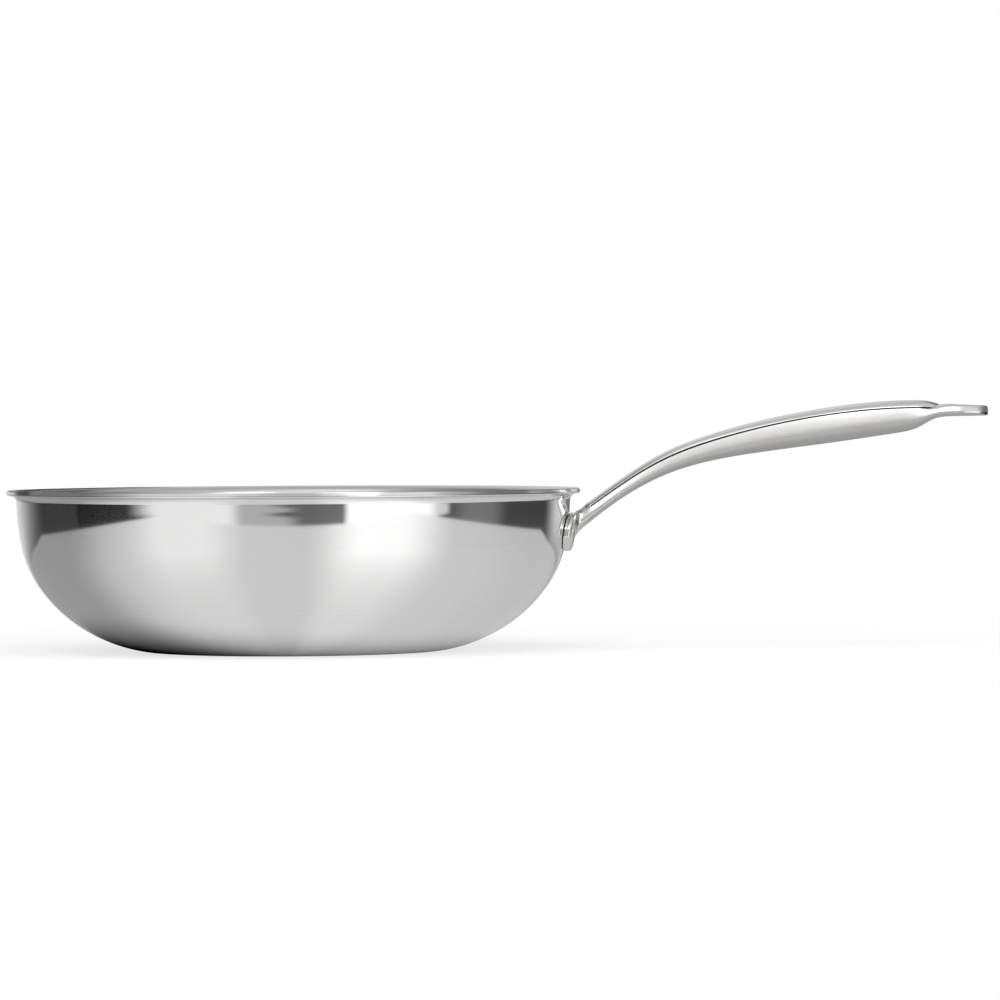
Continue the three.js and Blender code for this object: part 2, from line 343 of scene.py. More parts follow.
def halfWidth(x):
    gripReach = tailStart - handle["gripSetback"]
    grip = mix(handle["neckWidth"], handle["gripWidth"], ease(x, handle["neckReach"], gripReach))
    width = mix(grip, handle["tailWidth"], ease(x, gripReach, tailStart))
    tip = handle["tip"]
    for (near, share), (far, nextShare) in zip(tip, tip[1:]):
        if near < x <= far:
            width *= mix(share, nextShare, (x - near) / (far - near))
    return width / 2


# Handle body: the flange's sheet is laid on the wall, thickened, and its middle drawn out into the limb

body = {
    # Rows from the bottom up, each with its middle, halfway and side points, on the grip and on the tail:
    # shares of the half width, and of the depth below the seam or the crown above it
    "section": (
        ((0, -0.98), (0, -0.98)), ((0.36, -0.98), (0.62, -0.98)), ((0.70, -0.94), (0.86, -0.94)),
        ((0, -0.68), (0, -0.68)), ((0.50, -0.68), (0.60, -0.68)), ((1.03, -0.72), (1.01, -0.66)),
        ((0, -0.25), (0, -0.25)), ((0.50, -0.25), (0.60, -0.25)), ((1.00, -0.32), (1.02, -0.25)),
        ((0, 1), (0, 1)), ((0.60, 0.80), (0.88, 0.97)), ((0.87, 0), (0.97, 0)),
    ),
    "seamHalf": 0.87,  # the seam's share of the half width, which the cover takes too
    "seamFrom": 6 * mm,
    "seamSide": 3 * mm,  # the seam lies further out than this
    "seamCrease": 0.85,
    "crown": 1.0 * mm,
    "rootCrown": 0.4 * mm,
    "crownReach": 24 * mm,
    "tailCrown": 2.3 * mm,
    "tailBlend": 2 * mm,  # how far into the tail the grip's section fades out
    "rootStep": 3 * mm,
    "stations": [r * mm for r in (
        6.4, 9.5, 15, 22, 30, 39, 49, 60, 72, 85, 99, 113, 127, 141, 155, 165, 171.5,
        175.7, 180, 184.3, 188.9, 198.8, 207.5, 210.2, 211.2,
    )],
    "tipHeight": 0.8,
    "levels": 3,
}
slot = {
    "middle": 198.8 * mm,
    "length": 13 * mm,
    "width": 8 * mm,
    "ease": 1.1,  # the loops lie this much further out, because smoothing draws them in
    "rim": 0.9 * mm,
    "inset": 0.225 * mm,
    "reach": 5 * mm,  # faces whose middles lie within this of the centre line are opened
    "facing": 0.6,  # how level they lie at least
    "cuts": 2,
}


def crownRise(x):
    grown = mix(body["rootCrown"], body["crown"], ease(x, handle["rootReach"], body["crownReach"]))
    return mix(grown, body["tailCrown"], ease(x, seamEnd, tailStart))


def section(x):  # places across and above the seam of the points on one side
    share = ease(x, seamEnd, tailStart + body["tailBlend"])
    depth = seamRise(x) - bellyRise(x)
    places = []
    for grip, tail in body["section"]:
        wide, high = [mix(a, b, share) for a, b in zip(grip, tail)]
        places.append(Vector((wide * halfWidth(x), high * (crownRise(x) if high > 0 else depth))))
    return places


def placeRing(x, number):  # moves the picked points to the section at x; number tells which each of them is
    mesh = bmesh.from_edit_mesh(bpy.context.edit_object.data)
    places = section(x)
    for vert in [v for v in mesh.verts if v.select]:
        place = places[number(vert.co)]
        vert.co = (seat + x, place.x if vert.co.y > 0 else -place.x, level + seamRise(x) + place.y)
    bmesh.update_edit_mesh(bpy.context.edit_object.data)


def drawRoot(x):  # the first ring, from the flange's middle
    def number(p):
        row = min(range(len(neckRows)), key=lambda k: abs(p.z - level - neckRows[k]))
        column = min(range(len(neckColumns)), key=lambda k: abs(abs(p.y) - neckColumns[k]))
        return len(neckColumns) * row + column

    push((body["rootStep"], 0, 0))
    placeRing(x, number)


def drawLimb(x, past):
    push((x - past, 0, seamRise(x) - seamRise(past)))
    places = section(past)

    def number(p):
        here = Vector((abs(p.y), p.z - level - seamRise(x)))
        return min(range(len(places)), key=lambda k: (places[k] - here).length)

    placeRing(x, number)


def makeBody():
    piece = startGrid("handle_casting", flange["columns"], flange["rows"])
    for past, share in flange["roundEnds"]:
        pick(lambda p: abs(p.y) > past)
        bpy.ops.transform.resize(value=(1, 1, share), center_override=(0, 0, 0))
    mesh = bmesh.from_edit_mesh(piece.data)
    for vert in mesh.verts:
        z = level + vert.co.z
        vert.co = (wallX(vert.co.y, z) + flange["gap"], vert.co.y, z)
    bmesh.update_edit_mesh(piece.data)
    bpy.ops.mesh.select_all(action="SELECT")
    wide, tall = flange["fullness"]
    for growth in ((1, wide, tall), (1, 1 / wide, 1 / tall)):
        push((flange["thickness"] / 2, 0, 0))
        bpy.ops.transform.resize(value=growth, center_override=(0, 0, level))
    front = lambda p: p.x > wallX(p.y, p.z) + flangeFace - flange["thickness"] / 4
    onNeck = lambda p: abs(p.y) < neckColumns[-1] + hair and p.z > level + neckRows[0] - hair
    pick(lambda p: front(p) and onNeck(p))
    stations = body["stations"]
    drawRoot(stations[0])
    for past, x in zip(stations, stations[1:]):
        drawLimb(x, past)
    tip = picked()
    middle = (max(p.z for p in tip) + min(p.z for p in tip)) / 2
    bpy.ops.transform.resize(value=(1, 1, body["tipHeight"]), center_override=(tip[0].x, 0, middle))
    return piece


def signOf(d):
    return 0 if abs(d) < mm else 1 if d > 0 else -1


def placeLoop(middle, grow):  # lays the picked points of a 3 by 3 patch on the slot's outline
    mesh = bmesh.from_edit_mesh(bpy.context.edit_object.data)
    radius = slot["width"] / 2
    straight = slot["length"] / 2 - radius
    for vert in [v for v in mesh.verts if v.select]:
        along, across = signOf(vert.co.x - middle), signOf(vert.co.y)
        bend = cos(pi / 4) if along and across else 1
        vert.co.x = middle + along * ((straight + radius * bend) * slot["ease"] + grow)
        vert.co.y = across * (radius * bend * slot["ease"] + grow)
    bmesh.update_edit_mesh(bpy.context.edit_object.data)


def cutSlot():
    middle = seat + slot["middle"]
    bpy.ops.mesh.select_mode(type="FACE")
    near = lambda p: abs(p.x - middle) < slot["length"] / 2 and abs(p.y) < slot["reach"]
    for up in (1, -1):
        pickFaces(lambda p, n: near(p) and n.z * up > slot["facing"])
        for grow in (slot["rim"], 0):
            bpy.ops.mesh.inset(thickness=slot["inset"])
            placeLoop(middle, grow)
    inside = lambda p: abs(p.x - middle) < slot["length"] / 2 and abs(p.y) < slot["width"] / 2
    pickFaces(lambda p, n: inside(p) and abs(n.z) > slot["facing"])
    bpy.ops.mesh.bridge_edge_loops(number_cuts=slot["cuts"])
    bpy.ops.mesh.select_mode(type="VERT")


def creaseBody():
    pick(lambda p: p.x < seat + body["seamFrom"] and p.x < wallX(p.y, p.z) + 2 * flange["gap"])
    bpy.ops.mesh.region_to_loop()
    bpy.ops.transform.edge_crease(value=flange["backCrease"])
    bpy.ops.mesh.select_mode(type="VERT")
    onSeam = lambda p: abs(p.z - level - seamRise(p.x - seat)) < hair and abs(p.y) > body["seamSide"]
    pick(lambda p: body["seamFrom"] < p.x - seat < seamEnd and onSeam(p))
    bpy.ops.transform.edge_crease(value=body["seamCrease"])


handleBody = makeBody()
creaseBody()
cutSlot()
leaveEdit()
applyModifier(handleBody, "SUBSURF", levels=body["levels"], render_levels=body["levels"])
print("handle body drawn out:", len(handleBody.data.polygons), "faces")


# Crowned cover

cover = {
    "reach": 4.4 * mm,
    "setback": 3 * mm,
    "widths": (-1, -0.82, -0.42, 0, 0.42, 0.82, 1),
    "top": [h * mm for h in (1.05, 2.75, 3.7, 3.95, 3.7, 2.75, 1.05)],
    "under": [h * mm for h in (0.75, 1.6, 2.5, 2.9, 2.5, 1.6, 0.75)],
    "stations": [r * mm for r in (
        5.7, 7.1, 8.5, 9.9, 12, 16, 22, 30, 39, 49, 60, 72, 85, 99, 113, 127, 141, 155, 166,
    )],
    "rootShare": 0.2,  # height at the flange, growing to the neck's and then to the full one
    "growth": 5.2 * mm,
    "neckShare": 0.81,
    "neckReach": (28 * mm, 50 * mm),
    "gripShares": (0.99, 1.08),
    "gripReach": (122 * mm, 158 * mm),
    "sink": 0.32 * mm,  # how far it comes down towards the seam on the grip
    "sinkReach": (58 * mm, 105 * mm),
    "nose": ((0, 1, 1), (0.45, 0.97, 0.92), (0.85, 0.86, 0.74), (1.2, 0.62, 0.52)),  # place, width and height
    "levels": 3,
}


def makeCover():
    width = lambda x: halfWidth(x) * body["seamHalf"]
    grip = lambda x: mix(*cover["gripShares"], ease(x, *cover["gripReach"]))
    neck = lambda x: mix(cover["neckShare"], grip(x), ease(x, *cover["neckReach"]))
    sink = lambda x: cover["sink"] * ease(x, *cover["sinkReach"])
    begun = lambda x: mix(cover["rootShare"], 1, min((x - cover["reach"]) / cover["growth"], 1))
    grown = lambda x: begun(x) * neck(x) + sink(x) / max(cover["top"])
    foot = lambda x: seamRise(min(x, seamEnd)) - sink(x)
    start = cover["reach"]
    piece = startGrid("handle_cap", cover["widths"], (0, 1))
    mesh = bmesh.from_edit_mesh(piece.data)
    for vert in mesh.verts:
        column = cover["widths"].index(min(cover["widths"], key=lambda w: abs(w - vert.co.y)))
        rise = (cover["top"] if vert.co.z > 0.5 else cover["under"])[column]  # the sheet is 1 high
        vert.co = (seat + start, vert.co.y * width(start), level + foot(start) + rise * grown(start))
    bmesh.update_edit_mesh(piece.data)
    bpy.ops.mesh.select_all(action="SELECT")
    past = start
    noseStart = tailStart - cover["setback"] - handle["coverNose"]
    for x in cover["stations"]:
        push((x - past, 0, foot(x) - foot(past)))
        wide = width(x) / width(past)
        tall = grown(x) / grown(past)
        bpy.ops.transform.resize(value=(1, wide, tall), center_override=(seat + x, 0, level + foot(x)))
        past = x
    size, height = 1, 1
    for share, shrink, drop in cover["nose"]:
        x = noseStart + share * handle["coverNose"]
        push((x - past, 0, foot(x) - foot(past)))
        wide = width(x) / width(past) * shrink / size
        tall = drop / height
        bpy.ops.transform.resize(value=(1, wide, tall), center_override=(seat + x, 0, level + foot(x)))
        past, size, height = x, shrink, drop
    return piece


handleCover = makeCover()
leaveEdit()
applyModifier(handleCover, "SUBSURF", levels=cover["levels"], render_levels=cover["levels"])
print("cover drawn out:", len(handleCover.data.polygons), "faces")


# Rivets

rivet = {
    "spacing": 34 * mm,
    "shank": 3 * mm,
    "foot": 4.2 * mm,
    "footProud": 0.2 * mm,
    "footRound": 0.2 * mm,
    "footSteps": 4,
    "footDepth": 0.6 * mm,  # in the flange the foot keeps its width to here, and then narrows to the shank
    "shankFrom": 1.8 * mm,
    "head": 6.5 * mm,
    "headRise": 2.2 * mm,
    "headGap": 0.1 * mm,
    "headEdge": 0.3 * mm,
    "domeSteps": 12,
    "steps": 64,
}


def makeRivet(name, hand):
    sheet = sum(layers["inner_lining"])
    grip = sheet + flangeFace
    piece = startLine(name, 0, -rivet["footProud"])
    drawTo(rivet["foot"] - rivet["footRound"], -rivet["footProud"])
    drawArc(rivet["footRound"], 0, pi / 2, rivet["footSteps"])
    drawTo(rivet["foot"], rivet["footDepth"])
    drawTo(rivet["shank"], rivet["shankFrom"])
    drawTo(rivet["shank"], grip + rivet["headGap"])
    drawTo(rivet["head"], grip + rivet["headGap"])
    drawTo(rivet["head"], grip + rivet["headEdge"])
    dome = rivet["headRise"] - rivet["headEdge"]
    for k in range(1, rivet["domeSteps"] + 1):
        turn = k / rivet["domeSteps"] * pi / 2
        drawTo(rivet["head"] * cos(turn), grip + rivet["headEdge"] + dome * sin(turn))
    turnRound(rivet["steps"])
    leaveEdit()
    low = wallX(0, level - rivet["head"])
    high = wallX(0, level + rivet["head"])
    middle = (low + high) / 2
    slope = atan2(2 * rivet["head"], high - low)
    turn = hand * asin(rivet["spacing"] / 2 / middle)
    out = Vector((sin(slope), 0, -cos(slope))) * flangeFace
    place = Vector((middle, 0, level)) + out
    piece.rotation_euler = (0, -slope, turn)
    piece.location = (place.x * cos(turn), place.x * sin(turn), place.z)
    bpy.ops.object.transform_apply(location=True, rotation=True, scale=True)
    return piece


rivetLeft = makeRivet("rivet_left_pin", 1)
rivetRight = makeRivet("rivet_right_pin", -1)
print("rivets turned")


# Materials

class Wire:
    def __init__(self, tree, socket=None):
        self.tree = tree
        self.socket = socket

    def node(self, kind, settings=None, sockets=None, output=0):
        made = self.tree.nodes.new(kind)
        for name, value in (settings or {}).items():
            setattr(made, name, value)
        for name, value in (sockets or {}).items():
            if isinstance(value, Wire):
                self.tree.links.new(value.socket, made.inputs[name])
            else:
                made.inputs[name].default_value = value
        return Wire(self.tree, made.outputs[output] if made.outputs else None)

    def out(self, name):
        return Wire(self.tree, self.socket.node.outputs[name])

    def math(self, operation, first, second=0):
        return self.node("ShaderNodeMath", {"operation": operation}, {0: first, 1: second})

    def __add__(self, other):
        return self.math("ADD", self, other)

    def __radd__(self, other):
        return self.math("ADD", other, self)

    def __sub__(self, other):
        return self.math("SUBTRACT", self, other)

    def __rsub__(self, other):
        return self.math("SUBTRACT", other, self)

    def __mul__(self, other):
        return self.math("MULTIPLY", self, other)

    def __rmul__(self, other):
        return self.math("MULTIPLY", other, self)

    def __neg__(self):
        return self.math("MULTIPLY", self, -1)

    def step(self, low, high):  # 0 below low, 1 above high, smooth between
        sockets = {"Value": self, "From Min": low, "From Max": high}
        return self.node("ShaderNodeMapRange", {"interpolation_type": "SMOOTHSTEP"}, sockets)

    def within(self, low, high, soft):  # 1 from low to high, with soft ends
        return self.step(low - soft, low + soft) * (1 - self.step(high - soft, high + soft))


def newMaterial(name):
    made = bpy.data.materials.new(name)
    made.use_nodes = True
    made.node_tree.nodes.clear()
    return made, Wire(made.node_tree)


noiseMiddle = 0.5  # what the noise comes to on average


def stretchedNoise(start, place, scale, detail):
    stretched = start.node("ShaderNodeVectorMath", {"operation": "MULTIPLY"}, {0: place, 1: scale})
    return start.node("ShaderNodeTexNoise", sockets={"Vector": stretched, "Scale": 1.0, "Detail": detail})


def finishMetal(start, settings):
    metal = start.node("ShaderNodeBsdfPrincipled", sockets={"Metallic": 1.0, **settings})
    start.node("ShaderNodeOutputMaterial", sockets={"Surface": metal})


steel = {
    "tint": (0.80, 0.80, 0.795, 1),
    "mirror": (0.06, 0.5),  # roughness and smear of the polish, and of the fine lines that it leaves
    "lined": (0.28, 1.0),
    "smearTurn": 0.25,
    "lineShare": 0.13,
    "lineDepth": 0.09,
    "lineScale": (4, 4, 1500),
    "rippleScale": (3, 3, 640),
    "ripple": 0.0004 * mm,
}


def polishedBowl():
    made, start = newMaterial("polished_bowl")
    place = start.node("ShaderNodeTexCoord", output="Object")
    lines = stretchedNoise(start, place, steel["lineScale"], detail=3.0)
    ripple = stretchedNoise(start, place, steel["rippleScale"], detail=1.0)
    depth = {"Height": ripple, "Strength": 1.0, "Distance": steel["ripple"]}
    bump = start.node("ShaderNodeBump", sockets=depth)
    coats = []
    for roughness, smear in (steel["mirror"], steel["lined"]):
        coats.append(start.node("ShaderNodeBsdfPrincipled", sockets={
            "Base Color": steel["tint"], "Metallic": 1.0, "Roughness": roughness,
            "Anisotropic": smear, "Anisotropic Rotation": steel["smearTurn"], "Normal": bump,
        }))
    share = steel["lineShare"] + (lines - noiseMiddle) * steel["lineDepth"]
    both = start.node("ShaderNodeMixShader", sockets={0: share, 1: coats[0], 2: coats[1]})
    start.node("ShaderNodeOutputMaterial", sockets={"Surface": both})
    return made


trim = {"tint": (0.80, 0.80, 0.795, 1), "roughness": 0.13, "grain": 0.06, "grainScale": (80, 1800, 1800)}


def polishedTrim():
    made, start = newMaterial("polished_trim")
    place = start.node("ShaderNodeTexCoord", output="Object")
    grain = stretchedNoise(start, place, trim["grainScale"], detail=2.0)
    rough = trim["roughness"] + (grain - noiseMiddle) * trim["grain"]
    finishMetal(start, {"Base Color": trim["tint"], "Roughness": rough})
    return made


cast = {
    "tint": (0.80, 0.80, 0.79, 1),
    "paintedShadeTint": (0.55, 0.545, 0.535, 1),  # painted shade on the satin belly, and on all past the flange that faces down
    "under": (-0.35, 0.0),
    "neckFrom": (0.138, 0.150),  # this and the other starts and ends lie along X, from the bowl's axis
    "polished": 0.19,  # roughness at the flange, the shoulders and the tail, and of the satin belly
    "satin": 0.48,
    "satinFrom": (0.144, 0.190),
    "satinTo": (0.302, 0.336),
    "shoulder": (0.25, 0.6),
    "shadeUnderCover": (0.68, 0.78),  # what faces up under the cover is made rougher, and darkened as painted shade
    "shadeUnderCoverFrom": (0.147, 0.150),
    "shadeUnderCoverTo": (0.316, 0.322),
    "shadeUnderCoverTint": (0.20, 0.20, 0.20, 1),
    "roughUnderCover": 0.4,
    "grainScale": (70, 2400, 2400),
    "grain": 0.04,
    "bump": 0.015,
    "bumpDepth": 0.2 * mm,
}


def castHandle():
    made, start = newMaterial("cast_handle")
    place = start.node("ShaderNodeTexCoord", output="Object")
    reach = start.node("ShaderNodeSeparateXYZ", sockets={0: place})
    facing = start.node("ShaderNodeNewGeometry", output="Normal")
    upward = start.node("ShaderNodeSeparateXYZ", sockets={0: facing}, output="Z")
    grip = reach.step(*cast["satinFrom"]) * (1 - reach.step(*cast["satinTo"]))
    belly = grip * (1 - upward.step(*cast["shoulder"]))
    grain = stretchedNoise(start, place, cast["grainScale"], detail=2.0)
    depth = {"Height": grain * belly, "Strength": cast["bump"], "Distance": cast["bumpDepth"]}
    bump = start.node("ShaderNodeBump", sockets=depth)
    rough = cast["polished"] + belly * (cast["satin"] - cast["polished"])
    rough = rough + (grain - noiseMiddle) * cast["grain"]
    # painted shade: the tint darkens on the satin belly and wherever the handle faces down past the flange
    paintedShade = belly + (1 - belly) * (1 - upward.step(*cast["under"])) * reach.step(*cast["neckFrom"])
    # painted shade in the recess under the cover, with more roughness there
    shadeUnderCover = upward.step(*cast["shadeUnderCover"]) * reach.step(*cast["shadeUnderCoverFrom"]) * (1 - reach.step(*cast["shadeUnderCoverTo"]))
    tint = cast["tint"]
    for share, colour in ((paintedShade, cast["paintedShadeTint"]), (shadeUnderCover, cast["shadeUnderCoverTint"])):
        tint = start.node("ShaderNodeMixRGB", sockets={"Fac": share, "Color1": tint, "Color2": colour})
    rough = rough + shadeUnderCover * cast["roughUnderCover"]
    finishMetal(start, {"Base Color": tint, "Roughness": rough, "Normal": bump})
    return made


brushed = {
    "tint": (0.66, 0.655, 0.645, 1),
    "roughness": 0.18,
    "grain": 0.10,
    "ringScale": 2200,
    "bump": 0.12,
    "bumpDepth": 0.2 * mm,
    "smear": 0.5,
    "smearTurn": 0.25,
}


def brushedLining():
    made, start = newMaterial("brushed_lining")
    place = start.node("ShaderNodeTexCoord", output="Object")
    parts = start.node("ShaderNodeSeparateXYZ", sockets={0: place})
    radius = start.math("SQRT", parts * parts + parts.out("Y") * parts.out("Y"))
    fine = brushed["ringScale"]
    rings = start.node("ShaderNodeCombineXYZ", sockets={"X": radius * fine, "Y": parts.out("Z") * fine})
    lines = start.node("ShaderNodeTexNoise", sockets={"Vector": rings, "Scale": 1.0, "Detail": 2.0})
    depth = {"Height": lines, "Strength": brushed["bump"], "Distance": brushed["bumpDepth"]}
    bump = start.node("ShaderNodeBump", sockets=depth)
    rough = brushed["roughness"] + (lines - noiseMiddle) * brushed["grain"]
    finishMetal(start, {
        "Base Color": brushed["tint"], "Roughness": rough, "Normal": bump,
        "Anisotropic": brushed["smear"], "Anisotropic Rotation": brushed["smearTurn"],
    })
    return made


cutEdge = {"tint": (0.82, 0.83, 0.84, 1), "roughness": 0.13, "grain": 0.06, "grainScale": 900}


def cutAluminium():
    made, start = newMaterial("cut_aluminium")
    place = start.node("ShaderNodeTexCoord", output="Object")
    noise = {"Vector": place, "Scale": cutEdge["grainScale"], "Detail": 2.0}
    grain = start.node("ShaderNodeTexNoise", sockets=noise)
    rough = cutEdge["roughness"] + (grain - noiseMiddle) * cutEdge["grain"]
    finishMetal(start, {"Base Color": cutEdge["tint"], "Roughness": rough})
    return made


smoothAngle = radians(32)


def dress(piece, material, node):
    piece.data.materials.clear()
    piece.data.materials.append(material)
    bpy.ops.object.select_all(action="DESELECT")
    piece.select_set(True)
    bpy.context.view_layer.objects.active = piece
    bpy.ops.object.shade_smooth_by_angle(angle=smoothAngle)
    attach(piece, "root")
    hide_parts(node)


polished = polishedTrim()
dress(outerSkin, polishedBowl(), "outer_skin")
dress(core, cutAluminium(), "aluminium_core")
dress(lining, brushedLining(), "inner_lining")
dress(handleBody, castHandle(), "handle_body")
dress(handleCover, polished, "handle_cover")
dress(rivetLeft, polished, "rivet_left")
dress(rivetRight, polished, "rivet_right")
print("pieces dressed")


# Floor, light and camera

white = (1, 1, 1, 1)
stage = {
    "floorSize": 12,
    "shadow": 0.25,  # how much of its own shade the floor shows to the camera
    "tableSides": (-0.475, 0.483),
    "tableEnds": (-0.42, 0.235),
    "tableSoft": 0.02,
    "fadeMiddle": (0.05, 0, 0),
    "fadeShape": (0.75, 1, 1),
    "fade": (0.2, 0.5),
}
table = {  # painted brightness of the table round the bowl, which only the metal sees, with painted pools of light and painted shade at the bowl's foot, by azimuth in degrees from a place in front of it
    "middle": (0, -0.073, 0),
    "level": 0.73,
    "leftPool": (-63, -27, 11, 0.28),  # from, to and edge, and the light that it adds
    "rightPool": (20, 60, 13, 0.52),
    "poolNear": 0.18,  # share of the pools that is left at the bowl's foot
    "poolReach": (0.089, 0.26),
    "leftDim": (-103, -68, 0.36),  # from and to, and the light that is lost past it
    "rightDim": (70, 124, 0.11),
    "backDim": (124, 178, 0.25),
    "shadeMiddle": (-0.011, 0.011, 0),
    "shade": (0.075, 0.118),
}


def distance(start, place, middle):
    off = start.node("ShaderNodeVectorMath", {"operation": "SUBTRACT"}, {0: place, 1: middle})
    return start.node("ShaderNodeVectorMath", {"operation": "LENGTH"}, {0: off}, output="Value")


def tableLight(start, place):
    off = start.node("ShaderNodeVectorMath", {"operation": "SUBTRACT"}, {0: place, 1: table["middle"]})
    parts = start.node("ShaderNodeSeparateXYZ", sockets={0: off})
    turn = start.math("DEGREES", start.math("ARCTAN2", parts, -parts.out("Y")))
    near = table["poolNear"]
    gain = near + distance(start, place, (0, 0, 0)).step(*table["poolReach"]) * (1 - near)
    pools = 0
    for name in ("leftPool", "rightPool"):
        low, high, soft, light = table[name]
        pools = pools + turn.within(low, high, soft) * light
    light = table["level"] + pools * gain
    low, high, dim = table["leftDim"]
    light = light - (1 - turn.step(low, high)) * dim
    for name in ("rightDim", "backDim"):
        low, high, dim = table[name]
        light = light - turn.step(low, high) * dim
    return light * distance(start, place, table["shadeMiddle"]).step(*table["shade"])


def floorMaterial():
    made, start = newMaterial("pale_floor")
    place = start.node("ShaderNodeTexCoord", output="Object")
    parts = start.node("ShaderNodeSeparateXYZ", sockets={0: place})
    soft = stage["tableSoft"]
    onTable = parts.within(*stage["tableSides"], soft) * parts.out("Y").within(*stage["tableEnds"], soft)
    mirrored = start.node("ShaderNodeLightPath", output="Is Glossy Ray")
    seen = mirrored.out("Is Camera Ray")
    off = start.node("ShaderNodeVectorMath", {"operation": "SUBTRACT"}, {0: place, 1: stage["fadeMiddle"]})
    off = start.node("ShaderNodeVectorMath", {"operation": "MULTIPLY"}, {0: off, 1: stage["fadeShape"]})
    reach = start.node("ShaderNodeVectorMath", {"operation": "LENGTH"}, {0: off}, output="Value")
    matt = start.node("ShaderNodeBsdfDiffuse", sockets={"Color": white})
    bright = start.node("ShaderNodeEmission", sockets={"Color": white, "Strength": 1.0})
    # the floor glows for the metal with painted pools of light and painted shade round the bowl
    lit = start.node("ShaderNodeEmission", sockets={"Color": white, "Strength": tableLight(start, place)})
    clear = start.node("ShaderNodeBsdfTransparent")
    plain = 1 - stage["shadow"] * (1 - reach.step(*stage["fade"]))
    viewed = start.node("ShaderNodeMixShader", sockets={0: seen * plain, 1: matt, 2: bright})
    reflected = start.node("ShaderNodeMixShader", sockets={0: onTable, 1: clear, 2: lit})
    both = start.node("ShaderNodeMixShader", sockets={0: mirrored, 1: viewed, 2: reflected})
    start.node("ShaderNodeOutputMaterial", sockets={"Surface": both})
    return made


def makeFloor():
    bpy.ops.object.select_all(action="DESELECT")
    bpy.ops.mesh.primitive_plane_add(size=stage["floorSize"])
    floor = bpy.context.object
    floor.name = "floor"
    floor.data.materials.append(floorMaterial())


card = {  # a dark card behind the wok that only the metal sees
    "sides": (-0.75, -0.082),
    "heights": (0.125, 0.32),
    "behind": 0.45,
    "tint": (0.08, 0.08, 0.08, 1),
}


def makeCard():
    (left, right), (foot, top) = card["sides"], card["heights"]
    bpy.ops.object.select_all(action="DESELECT")
    place = ((left + right) / 2, card["behind"], (foot + top) / 2)
    bpy.ops.mesh.primitive_plane_add(size=1, location=place, rotation=(pi / 2, 0, 0))
    made = bpy.context.object
    made.name = "dark_card"
    made.scale = (right - left, top - foot, 1)
    bpy.ops.object.transform_apply(location=True, rotation=True, scale=True)
    paper, start = newMaterial("dark_paper")
    matt = start.node("ShaderNodeBsdfDiffuse", sockets={"Color": card["tint"]})
    start.node("ShaderNodeOutputMaterial", sockets={"Surface": matt})
    made.data.materials.append(paper)
    for kind in ("camera", "diffuse", "shadow"):
        setattr(made, "visible_" + kind, False)


topLight = {"strength": 0.9, "spread": radians(50), "tilt": (radians(25), 0, radians(-20))}
softboxes = {  # they shine on the handle's upper side
    "left_softbox": {
        "place": (-0.21, -0.61, 0.50), "aim": (0.165, 0, 0.085), "size": (0.28, 0.40), "power": 0.49,
    },
    "middle_softbox": {
        "place": (0.005, -0.60, 0.70), "aim": (0.005, 0, 0.42), "size": (0.31, 0.72), "power": 0.31,
    },
    "right_softbox": {
        "place": (0.33, -0.60, 0.70), "aim": (0.33, 0, 0.42), "size": (0.34, 0.80), "power": 2.1,
    },
}


def makeLights():
    bpy.ops.object.select_all(action="DESELECT")
    bpy.ops.object.light_add(type="SUN", rotation=topLight["tilt"])
    made = bpy.context.object
    made.name = "top_light"
    made.data.energy = topLight["strength"]
    made.data.angle = topLight["spread"]
    made.visible_glossy = False
    for name, box in softboxes.items():
        bpy.ops.object.light_add(type="AREA", location=box["place"])
        made = bpy.context.object
        made.name = name
        made.data.energy = box["power"]
        made.data.shape = "RECTANGLE"
        made.data.size, made.data.size_y = box["size"]
        way = Vector(box["aim"]) - Vector(box["place"])
        made.rotation_euler = way.to_track_quat("-Z", "Y").to_euler()
        made.visible_camera = False


studio = {  # brightness by direction in degrees; azimuth 0 is to the front, positive to the handle's side
    "leftBox": (-64, -22, 0.97),  # from and to, and its brightness
    "leftEdges": (8, 4),
    "fringe": (-22, 2, 0.44),
    "fringeEdges": (4, 5),
    "rightBox": (23.5, 62, 1.26),
    "rightEdges": (1.8, 3),
    "rightStep": (62, 69, 0.74),
    "stepEdges": (3, 2),
    "tongue": (-9.2, -7.8, 0.7),  # at this height the dark reaches into the bright edges, by these degrees
    "leftReach": 7,
    "fringeReach": 11,
    "rightReach": 5,
    "shade": 0.035,  # between the boxes, and what is added from, to and with these edges
    "deepShade": (-99.3, -56, 1.5, -0.034),
    "middleShade": (2, 23, 3, 0.065),
    "sideShade": (74, 97, 7, 0.15),
    "frontWall": (0.55, 0.20),  # above eye level, in front and at the sides
    "frontSides": (62, 92),
    "frontFrom": (-2, 3),
    "boxGlow": (0.20, 0.28),  # what the left and the right box add there, and more of it low down
    "boxFoot": (0.65, 0.30),
    "boxTop": (8, 14),
    "backdropLeft": (-145, 21),
    "backdropRight": (138, 8),
    "backdrop": (0.72, 0.38),  # at eye level, and low down
    "backdropLow": (-9, -3),
    "frontDome": 0.80,
    "backDome": 0.56,
    "domeLean": (-0.5, 0.5),
    "domeFrom": (35, 60),
    "overhead": (((-0.27, -0.25, 0.93), 0.5), ((0.0, -0.25, 0.97), 0.25)),  # ways to its brighter parts
    "overheadReach": (0.08, 0.28),
    "flags": (  # dark screens: azimuth from, to and edge, height from, to and edge, share of light taken
        (134, 172, 8, 8, 44, 5, 0.78),
        (-136, -48, 10, 20, 62, 6, 0.34),
        (157, 190, 3, -4, 2, 1, 0.75),
    ),
}


